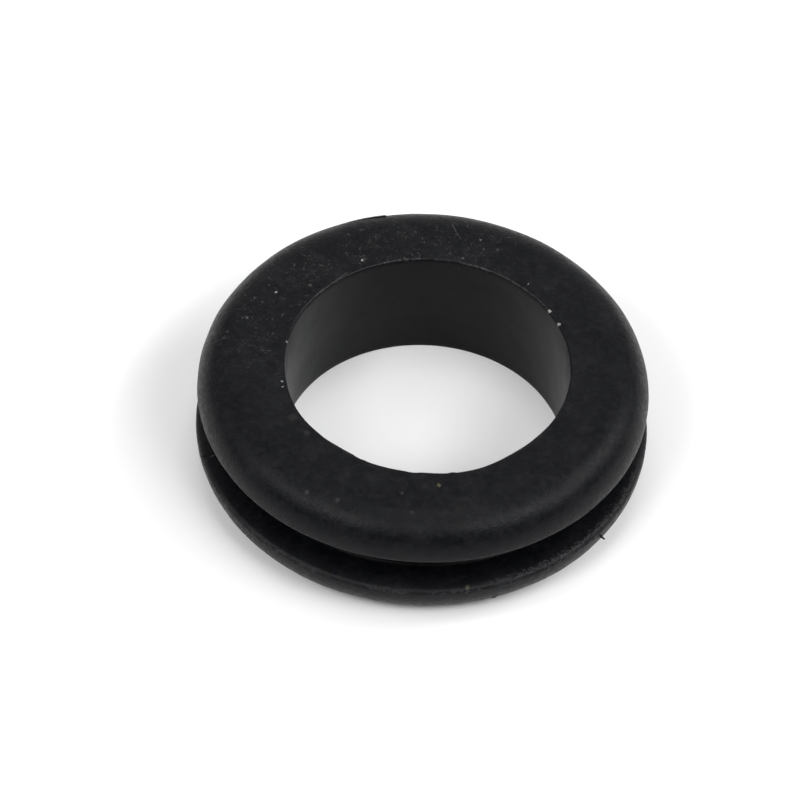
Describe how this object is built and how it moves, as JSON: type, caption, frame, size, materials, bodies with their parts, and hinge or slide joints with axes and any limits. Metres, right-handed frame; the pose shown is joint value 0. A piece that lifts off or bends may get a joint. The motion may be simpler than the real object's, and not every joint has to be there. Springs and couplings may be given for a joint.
{
  "type": "rubber grommet",
  "caption": "Thick round rubber grommet: one moulded ring with a plain bore and an outer groove between two rounded flanges, for lining a hole in a panel.",
  "frame": {"origin": "on the bore's axis, at the middle of the panel groove", "axes": "+Z along the bore; X and Y lie in the panel's plane, and the ring is the same all the way round"},
  "size_m": [0.0302, 0.0302, 0.0088],
  "materials": {
    "rubber": "matte black moulded rubber with a faint dusty bloom"
  },
  "bodies": {
    "root": {"grommet": "rubber"}
  },
  "joints": []
}
